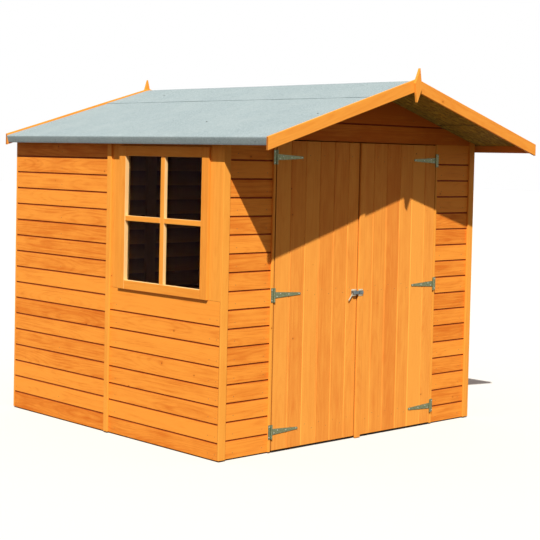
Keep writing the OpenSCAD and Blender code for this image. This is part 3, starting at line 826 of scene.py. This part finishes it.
# ---- tee hinges ----
# Pressed steel, zinc plated to a dull green grey. A plate with two knuckles is screwed to the jamb, and
# a long tapered strap turns on its pin and is screwed to the door boards.

def zinc_spangle():
    """Faint crystal patches and dull film of zinc plating, from a place on the metal."""
    group = bpy.data.node_groups.new("Zinc spangle", "ShaderNodeTree")
    open_sockets(group, "INPUT", {"Place": "Vector", "Patch size": "Float"})
    open_sockets(group, "OUTPUT", {"Spangle": "Float", "Film": "Float"})
    given = add(group, "NodeGroupInput").outputs
    scale = calc(group, "DIVIDE", 1.0, given["Patch size"])
    cells = add(group, "ShaderNodeTexVoronoi", {"Vector": given["Place"], "Scale": scale})
    patch = parted(group, cells.outputs["Color"])[0]
    film = mottle(group, given["Place"], scale, 3.0)
    add(group, "NodeGroupOutput", {"Spangle": patch, "Film": film})
    return group


zinc = zinc_spangle()


def plated_metal(name, bright, dull, patch_size, roughness):
    """Zinc-plated steel between a bright and a dull colour."""
    made, tree, shader = new_finish(name)
    place = object_place(tree)
    feeds = {"Place": place, "Patch size": patch_size}
    surface = add(tree, "ShaderNodeGroup", feeds, node_tree=zinc).outputs
    dusty = fade(tree, surface["Film"], 0.3, 0.7, 0.0, 0.6)
    share = calc(tree, "MULTIPLY_ADD", surface["Spangle"], 0.4, dusty)
    feed(tree, shader, {"Base Color": tint(tree, share, paint(*bright), paint(*dull)), "Metallic": 0.55,
                        "Roughness": fade(tree, surface["Film"], 0.3, 0.7, roughness, roughness + 0.2)})
    return made


hinge_finish = plated_metal("plated_hinges", (136, 144, 112), (90, 100, 70), 0.006, 0.4)
screw_finish = plated_metal("bright_screws", (214, 216, 206), (170, 174, 164), 0.003, 0.3)


def pressed(name, node_name, body, finish, arris=0.0006):
    """A CAD node's metal parts with their sharp edges eased."""
    parts = timber_parts(node_name)
    for part in parts:
        ease(part, arris)
    return shaped(name, joined(parts), [finish], body, [node_name])


pressed("hinge_plates", "door_hinge_plates", "root", hinge_finish)
pressed("left_hinge_straps", "left_door_straps", "left_door", hinge_finish)
pressed("right_hinge_straps", "right_door_straps", "right_door", hinge_finish)


# ---- latch ----
# A surface bolt of zinc-plated steel: a pressed case with flanges on the left door, a lever that hangs
# from it, and a shallower keeper of the same section on the right door's strip.

latch_finish = plated_metal("plated_latch", (226, 218, 192), (186, 180, 156), 0.02, 0.34)
# The raised channel is a darker blue-grey, a painted reflection of the sky
channel_sky_reflection_finish = plated_metal("latch_channel_painted_reflection", (120, 132, 134), (84, 94, 96), 0.02, 0.34)
flange_t = 0.002


def pressed_channel(shell, x0, x1, back_y, depth, middle_z, half_h):
    """A channel with sloping sides between two flanges, with closed ends, added to a mesh."""
    half_w = half_h * 0.6
    outline = [(-half_h, 0.0), (-half_h, flange_t), (-half_w - 0.002, flange_t), (-half_w, flange_t + 0.002),
               (-half_w + 0.002, depth - 0.002), (-half_w + 0.004, depth), (half_w - 0.004, depth),
               (half_w - 0.002, depth - 0.002), (half_w, flange_t + 0.002), (half_w + 0.002, flange_t),
               (half_h, flange_t), (half_h, 0.0)]
    ends = []
    for x in (x0, x1):
        ends.append([shell.verts.new((x, back_y - out, middle_z + up)) for up, out in outline])
    solid_between(shell, *ends)


def latch_piece(name, shell, body, node_name):
    """Eases the edges of a latch part; its raised channel takes a darker blue-grey, a painted reflection of
    the sky.
    """
    back_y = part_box(node_name)[1].y
    bmesh.ops.recalc_face_normals(shell, faces=shell.faces)
    ease(shell, 0.0007)
    for face in shell.faces:
        spot = face.calc_center_median()
        raised = spot.y < back_y - flange_t - 0.001 and abs(spot.z - latch_z) < latch_h * 0.31
        face.material_index = 1 if raised and spot.x > case_high.x - case_w - 0.0005 else 0
    return shaped(name, shell, [latch_finish, channel_sky_reflection_finish], body, [node_name], crease=0.7)


keeper_low, keeper_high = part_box("right_door_latch_keeper")
case_low, case_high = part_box("left_door_latch")
latch_z = (keeper_low.z + keeper_high.z) / 2
latch_h = keeper_high.z - keeper_low.z
case_w = 0.044
shell = bmesh.new()
pressed_channel(shell, keeper_low.x, keeper_high.x, keeper_high.y, keeper_high.y - keeper_low.y,
                latch_z, latch_h / 2)
latch_piece("latch_keeper", shell, "right_door", "right_door_latch_keeper")

# The lever is a flat bar with round ends, pinned in the case and hanging out of its lower corner
lever_half = 0.0035
lever_t = 0.004
case_depth = 0.022
lever_pin = Vector((case_high.x - case_w + 2 * lever_half, case_high.y - 0.012, latch_z))
lever_tip = Vector((case_low.x + lever_half, lever_pin.y, case_low.z + lever_half))
shell = bmesh.new()
pressed_channel(shell, case_high.x - case_w, case_high.x, case_high.y, case_depth, latch_z, latch_h / 2)
down = (lever_tip - lever_pin).normalized()
aside = backward.cross(down)
rim = []
for end, way in ((lever_pin, -1), (lever_tip, 1)):
    for step in range(9):
        angle = math.pi * (step / 8 - 0.5)
        rim.append(end + (down * math.cos(angle) + aside * math.sin(angle)) * lever_half * way)
front = [shell.verts.new(spot) for spot in rim]
back = [shell.verts.new(spot + backward * lever_t) for spot in rim]
solid_between(shell, front, back)
latch_piece("latch_case_and_lever", shell, "left_door", "left_door_latch")


# ---- roofing felt ----
# Mineral-faced felt in three lengths: one over each slope, folded down over the eave rail, and a strip
# bent over the ridge that laps both. It follows the sheets loosely, so it lies a little uneven.

felt_low, felt_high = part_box("roof_felt_right")
ridge_low, ridge_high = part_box("roof_felt_ridge")


def mineral_felt():
    """Pale green-grey grit pressed into bitumen, with worn and dusty patches."""
    made, tree, shader = new_finish("mineral_felt")
    place = object_place(tree)
    grit = add(tree, "ShaderNodeTexVoronoi", {"Vector": place, "Scale": 420.0})
    grain = parted(tree, grit.outputs["Color"])
    colour = tint(tree, grain[0], paint(142, 158, 162), paint(172, 188, 192))
    colour = tint(tree, fade(tree, grain[1], 0.86, 0.92, 0.0, 0.55), colour, paint(88, 99, 102))
    drift = mottle(tree, place, 5.0, 5.0, 0.6)
    colour = tint(tree, fade(tree, drift, 0.35, 0.7, 0.0, 0.4), colour, paint(170, 184, 186))
    clump = mottle(tree, place, 150.0, 2.0, 0.7)
    colour = tint(tree, fade(tree, clump, 0.42, 0.62, 0.28, 0.0), colour, paint(112, 126, 130))
    soot = mottle(tree, place, 60.0, 3.0, 0.6)
    colour = tint(tree, fade(tree, soot, 0.5, 0.8, 0.0, 0.35), colour, paint(118, 130, 128))
    height = parted(tree, place)["Z"]
    # Darker towards the foot of the eave fold
    fold_foot_darkening = fade(tree, height, felt_low.z + 0.012, felt_low.z, 0.0, 0.4)
    colour = tint(tree, fold_foot_darkening, colour, paint(84, 94, 92))
    normal = bumped(tree, grit.outputs["Distance"], 0.5, 0.0012)
    feed(tree, shader, {"Base Color": colour, "Normal": normal, "Roughness": 0.92,
                        "Specular IOR Level": 0.15})
    return made


felt_finish = mineral_felt()
felt_t = 0.0025
felt_spacing = 0.035


def felt_top(x):
    """Height of the first layer of felt, at a distance from the ridge."""
    return felt_high.z - abs(x) * sheet_rise


def felt_wave(x, y):
    """How far loose felt stands off its sheet."""
    broad = noise.noise(Vector((x * 3.1, y * 2.3, 0.0)))
    fine = noise.noise(Vector((x * 11, y * 9, 4.0)))
    return 0.0007 + 0.0009 * broad + 0.0005 * fine


def felt_piece(name, node_name, line, y0, y1, ragged):
    """A felt length from its outer line of (x, z, outward normal, ragged share), laid from y0 to y1."""
    steps = round((y1 - y0) / felt_spacing)
    whole = bmesh.new()
    rows = []
    for step in range(steps + 1):
        y = y0 + (y1 - y0) * step / steps
        row = []
        for x, z, outward, loose in line:
            lift = felt_wave(x, y)
            slip = ragged * loose * noise.noise(Vector((y * 5, x * 3, 2)))
            spot = Vector((x, y, z)) + outward * lift + Vector((slip, 0, -slip * sheet_rise))
            row.append((whole.verts.new(spot), whole.verts.new(spot - outward * felt_t)))
        rows.append(row)
    last = len(line) - 1
    for near, far in zip(rows, rows[1:]):
        for k in range(last):
            whole.faces.new((near[k][0], near[k + 1][0], far[k + 1][0], far[k][0]))
            whole.faces.new((near[k][1], far[k][1], far[k + 1][1], near[k + 1][1]))
        for k in (0, last):
            whole.faces.new((near[k][0], far[k][0], far[k][1], near[k][1]))
    for row in (rows[0], rows[-1]):
        for k in range(last):
            whole.faces.new((row[k][0], row[k][1], row[k + 1][1], row[k + 1][0]))
    bmesh.ops.recalc_face_normals(whole, faces=whole.faces)
    return shaped(name, whole, [felt_finish], "root", [node_name], crease=0.9)


def fold_lines(side):
    """The eave's corner, and the ways down the slope and down the fold, which is square to it."""
    corner = Vector((side * felt_high.x, 0, felt_top(felt_high.x)))
    down_slope = Vector((side * math.cos(roof_pitch), 0, -math.sin(roof_pitch)))
    down_fold = Vector((-side * math.sin(roof_pitch), 0, -math.cos(roof_pitch)))
    return corner, down_slope, down_fold


def slope_line(side):
    """The outer line of one slope's felt: down the slope, round the eave and down the fold."""
    bend = 0.007
    corner, down_slope, down_fold = fold_lines(side)
    line = []
    steps = 34
    bend_x = felt_high.x - bend * math.cos(roof_pitch)
    for step in range(steps + 1):
        x = 0.001 + (bend_x - 0.001) * step / steps
        line.append((side * x, felt_top(x), -down_fold, 0))
    centre = corner + (down_fold - down_slope) * bend
    for step in range(1, 5):
        angle = math.pi / 2 * step / 4
        outward = down_slope * math.sin(angle) - down_fold * math.cos(angle)
        spot = centre + outward * bend
        line.append((spot.x, spot.z, outward, 0))
    foot = corner + down_fold * ((corner.z - felt_low.z) / math.cos(roof_pitch))
    for step in range(1, 4):
        down = spot.lerp(foot, step / 3)
        line.append((down.x, down.z, down_slope, 0))
    return line


for side, side_name in ((-1, "left"), (1, "right")):
    felt_piece(f"slope_felt_{side_name}", f"roof_felt_{side_name}", slope_line(side),
               felt_low.y, felt_high.y, 0.0)

ridge_line = []
ridge_lift = ridge_high.z - felt_high.z
for step in range(-14, 15):
    x = ridge_high.x * step / 14
    tilt = roof_pitch * max(-1.0, min(1.0, x / 0.03))
    drop = 0.002 if step == 0 else 0.0
    ridge_line.append((x, felt_top(x) + ridge_lift - drop, Vector((math.sin(tilt), 0, math.cos(tilt))),
                       1 if abs(step) == 14 else 0))
felt_piece("ridge_felt_strip", "roof_felt_ridge", ridge_line, ridge_low.y, ridge_high.y, 0.003)


# ---- eave rails, purlins, bargeboards and finials ----
# Rails close the roof's edges under the felt, and purlins run from gable to gable. Planed bargeboards
# are nailed over the ends of the roof, meet at the apex, and carry a pointed finial there.

dressed("eave_rail_timbers", "roof_eave_rails", "root", stained_framing)
dressed("purlin_timbers", "roof_purlins", "root", stained_framing)
for end in ("front", "back"):
    dressed(f"{end}_bargeboard_pair", f"{end}_bargeboards", "root", stained_trim,
            tones=(0.35, 0.5), bow=0.0012)
    dressed(f"{end}_finial_board", f"{end}_finial", "root", stained_trim,
            tones=(0.4, 0.5), bow=0.0, run=upward)


# ---- nails and screws ----
# Plain wire nails hold the boards, broad-headed clouts the felt, and cross-headed screws the hinges.
# Each head stands a little proud of what it holds.

def fixings_tree():
    """Puts a fixing's head at each point, facing as the point says and turned at random."""
    tree = bpy.data.node_groups.new("Fixing heads", "GeometryNodeTree")
    open_sockets(tree, "INPUT", {"Points": "Geometry", "Head": "Object", "Size": "Float",
                                 "Size spread": "Float", "Seed": "Int", "Finish": "Material"})
    open_sockets(tree, "OUTPUT", {"Heads": "Geometry"})
    given = add(tree, "NodeGroupInput").outputs
    head = add(tree, "GeometryNodeObjectInfo", {"Object": given["Head"]}).outputs["Geometry"]
    facing = add(tree, "GeometryNodeInputNamedAttribute", {"Name": "facing"}, data_type="FLOAT_VECTOR")
    aim = add(tree, "FunctionNodeAlignRotationToVector", {"Vector": facing.outputs[0]}, axis="Z")
    turn = add(tree, "FunctionNodeRandomValue", {2: 0.0, 3: 2 * math.pi, "Seed": given["Seed"]})
    spin = add(tree, "FunctionNodeAxisAngleToRotation", {"Axis": (0, 0, 1), "Angle": turn.outputs[1]})
    feeds = {"Rotation": aim.outputs[0], "Rotate By": spin.outputs[0]}
    turned = add(tree, "FunctionNodeRotateRotation", feeds, rotation_space="LOCAL").outputs[0]
    spread = add(tree, "FunctionNodeRandomValue", {3: given["Size spread"], "Seed": given["Seed"]})
    tree.links.new(calc(tree, "MULTIPLY", given["Size spread"], -1.0), spread.inputs[2])
    scale = calc(tree, "MULTIPLY_ADD", given["Size"], spread.outputs[1], given["Size"])
    feeds = {"Points": given["Points"], "Instance": head, "Rotation": turned, "Scale": scale}
    heads = add(tree, "GeometryNodeInstanceOnPoints", feeds).outputs[0]
    return hand_out(tree, "Heads", heads, given["Finish"])


fixing_heads = fixings_tree()


def turned_head(name, outline, sides=12, slots=0.0):
    """A head of unit radius, turned from (radius, height) points, with a cross of that depth if asked."""
    head = bmesh.new()
    rings = []
    for radius, height in outline:
        ring = []
        for k in range(sides):
            angle = 2 * math.pi * k / sides
            ring.append(head.verts.new((radius * math.cos(angle), radius * math.sin(angle), height)))
        rings.append(ring)
    for low_ring, high_ring in zip(rings, rings[1:]):
        sides_between(head, low_ring, high_ring)
    head.faces.new(list(reversed(rings[0])))
    crown = head.faces.new(rings[-1])
    if slots:
        bmesh.ops.inset_region(head, faces=[crown], thickness=0.08)
        middle = crown.calc_center_median()
        for corner in crown.verts:
            far = corner.co - middle
            share = 1.0 if round(math.atan2(far.y, far.x) / (math.pi / sides)) % (sides // 2) == 0 else 0.35
            corner.co = middle + far * share
        bmesh.ops.inset_region(head, faces=[crown], thickness=0.02, depth=-slots)
    bmesh.ops.recalc_face_normals(head, faces=head.faces)
    mesh = bpy.data.meshes.new(name)
    head.to_mesh(mesh)
    head.free()
    return placed(name, mesh)


def drive(name, marks, body, head, size, finish, spread=0.06, seed=3):
    """A fixing's head at each mark (place, outward direction), all as one piece."""
    places = [tuple(place) for place, _ in marks]
    points = loose_object(name + "_marks", places, [], {"facing": [tuple(out) for _, out in marks]})
    inputs = {"Head": head, "Size": size, "Size spread": spread, "Seed": seed, "Finish": finish}
    mesh = grown(fixing_heads, points, inputs, ("facing",))
    mesh.name = name
    return piece(name, mesh, body)


nail_head = turned_head("nail_head", [(0.5, -0.6), (1.0, -0.1), (1.0, 0.12), (0.8, 0.2)], 10)
nail_finish = plated_metal("dull_nails", (150, 120, 86), (112, 76, 44), 0.003, 0.55)
drive("cladding_nail_heads", cladding_nails, "root", nail_head, 0.0022, nail_finish)
for body, marks in door_nails.items():
    drive(body + "_nail_heads", marks, body, nail_head, 0.0020, nail_finish)

# Clouts hold the fold of the felt to the eave rail, and three more hold it on each slope
clout_head = turned_head("clout_head", [(0.4, -0.5), (1.0, -0.1), (1.0, 0.16), (0.7, 0.26)], 12)
clout_finish = plated_metal("dull_clouts", (92, 98, 96), (60, 66, 66), 0.004, 0.5)
slope_clouts = ((0.178, 0.623), (0.844, -0.598), (0.694, -1.333))
fold_clouts = []
clouts = []
clout_count = 9
clout_end = 0.09
clout_down = 0.026
felt_off = 0.0012
for side in (-1, 1):
    corner, down_slope, down_fold = fold_lines(side)
    for k in range(clout_count):
        y = felt_low.y + clout_end + k * (felt_high.y - felt_low.y - 2 * clout_end) / (clout_count - 1)
        spot = corner + down_fold * clout_down + down_slope * felt_off
        fold_clouts.append((spot + Vector((0, y, 0)), down_slope))
    slope_out = Vector((side * sheet_rise, 0, 1)).normalized()
    for x, y in slope_clouts:
        lap = ridge_lift if x < ridge_high.x else 0.0
        clouts.append((Vector((side * x, y, felt_top(x) + lap + felt_off)), slope_out))
drive("felt_clouts", clouts, "root", clout_head, 0.0050, clout_finish)
bright_clouts = plated_metal("bright_clouts", (140, 150, 150), (112, 122, 122), 0.004, 0.5)
drive("fold_clouts", fold_clouts, "root", clout_head, 0.0034, bright_clouts)

# Four screws in each strap, two near the root, and one in each tab of a plate
screw_head = turned_head("screw_head", [(0.6, -0.4), (1.0, -0.05), (0.96, 0.14), (0.72, 0.3)], 12, slots=0.28)
strap_half_h = 0.017
strap_t = 0.003
plate_screw_up = 0.029
plate_screw_in = 0.012
strap_marks = ((0.125, -0.008), (0.25, 0.006), (0.56, 0.0), (0.94, 0.0))
plate_screws = []
for body, reach in (("left_door", 1), ("right_door", -1)):
    low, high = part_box(body + "_straps")
    root_x = low.x if reach > 0 else high.x
    length = high.x - low.x
    front_y = high.y - strap_t
    marks = []
    for z in three_heights(low, high, strap_half_h):
        for share, lift in strap_marks:
            marks.append((Vector((root_x + reach * share * length, front_y, z + lift)), frontward))
        for lift in (-plate_screw_up, plate_screw_up):
            spot = Vector((root_x - reach * plate_screw_in, front_y, z + lift))
            plate_screws.append((spot, frontward))
    drive(body + "_strap_screws", marks, body, screw_head, 0.0036, screw_finish, 0.0)
drive("plate_screws", plate_screws, "root", screw_head, 0.0036, screw_finish, 0.0)
for helper in (nail_head, clout_head, screw_head):
    bpy.data.objects.remove(helper)


# ---- ground, light and camera ----
# A plain pale floor that keeps the shed's shadow, one sharp lamp high at the front left, and even light
# from all round. The camera stands at head height, off the front left corner.

ground = bpy.data.meshes.new("ground")
ground_half = 60.0
ground.from_pydata([(x * ground_half, y * ground_half, 0) for x, y in ((-1, -1), (1, -1), (1, 1), (-1, 1))],
                   [], [(0, 1, 2, 3)])
placed("ground", ground)


def seen_plainly(tree):
    """1 where the surroundings are seen, straight or in metal and glass, and 0 where they only light."""
    ray = add(tree, "ShaderNodeLightPath").outputs
    mirrored = calc(tree, "MAXIMUM", ray["Is Glossy Ray"], ray["Is Transmission Ray"])
    mirrored = calc(tree, "MULTIPLY", mirrored, calc(tree, "LESS_THAN", ray["Diffuse Depth"], 0.5))
    return calc(tree, "MAXIMUM", ray["Is Camera Ray"], mirrored)


ground_finish, tree, shader = new_finish("pale_floor")
floor_colour = tint(tree, seen_plainly(tree), paint(74, 71, 62), paint(226, 225, 221))
feed(tree, shader, {"Base Color": floor_colour, "Roughness": 0.9, "Specular IOR Level": 0.1})
ground.materials.append(ground_finish)

world = bpy.data.worlds.new("studio")
bpy.context.scene.world = world
world.use_nodes = True
tree = world.node_tree
fill = add(tree, "ShaderNodeBackground", {"Color": (1.0, 0.88, 0.84, 1.0), "Strength": 0.32})
backdrop = add(tree, "ShaderNodeBackground", {"Color": (1.0, 1.0, 1.0, 1.0), "Strength": 1.0})
feeds = {0: seen_plainly(tree), 1: fill.outputs[0], 2: backdrop.outputs[0]}
choice = add(tree, "ShaderNodeMixShader", feeds)
tree.links.new(choice.outputs[0], tree.nodes["World Output"].inputs["Surface"])

key = bpy.data.lights.new("key", "SUN")
key.energy = 5.3
key.color = (1.0, 0.97, 0.92)
key.angle = math.radians(0.7)
lamp_aim = Vector((0.488, 0.492, -0.721))
placed("key", key).rotation_euler = lamp_aim.to_track_quat("-Z", "Y").to_euler()

eye = Vector((-5.807, -6.413, 1.641))
yaw, pitch, roll = (math.radians(angle) for angle in (43.253, -2.433, 1.253))
ahead = Vector((math.sin(yaw) * math.cos(pitch), math.cos(yaw) * math.cos(pitch), math.sin(pitch)))
level = ahead.cross(upward).normalized()
upright = level.cross(ahead)
right = level * math.cos(roll) + upright * math.sin(roll)
above = upright * math.cos(roll) - level * math.sin(roll)
camera = bpy.data.cameras.new("camera")
camera.sensor_width = 36.0
camera.lens = 89.795
camera.shift_y = -0.1
camera_object = placed("camera", camera)
turned = Matrix((right, above, -ahead)).transposed().to_4x4()
camera_object.matrix_world = Matrix.Translation(eye) @ turned
bpy.context.scene.camera = camera_object
bpy.context.scene.view_settings.view_transform = "Standard"
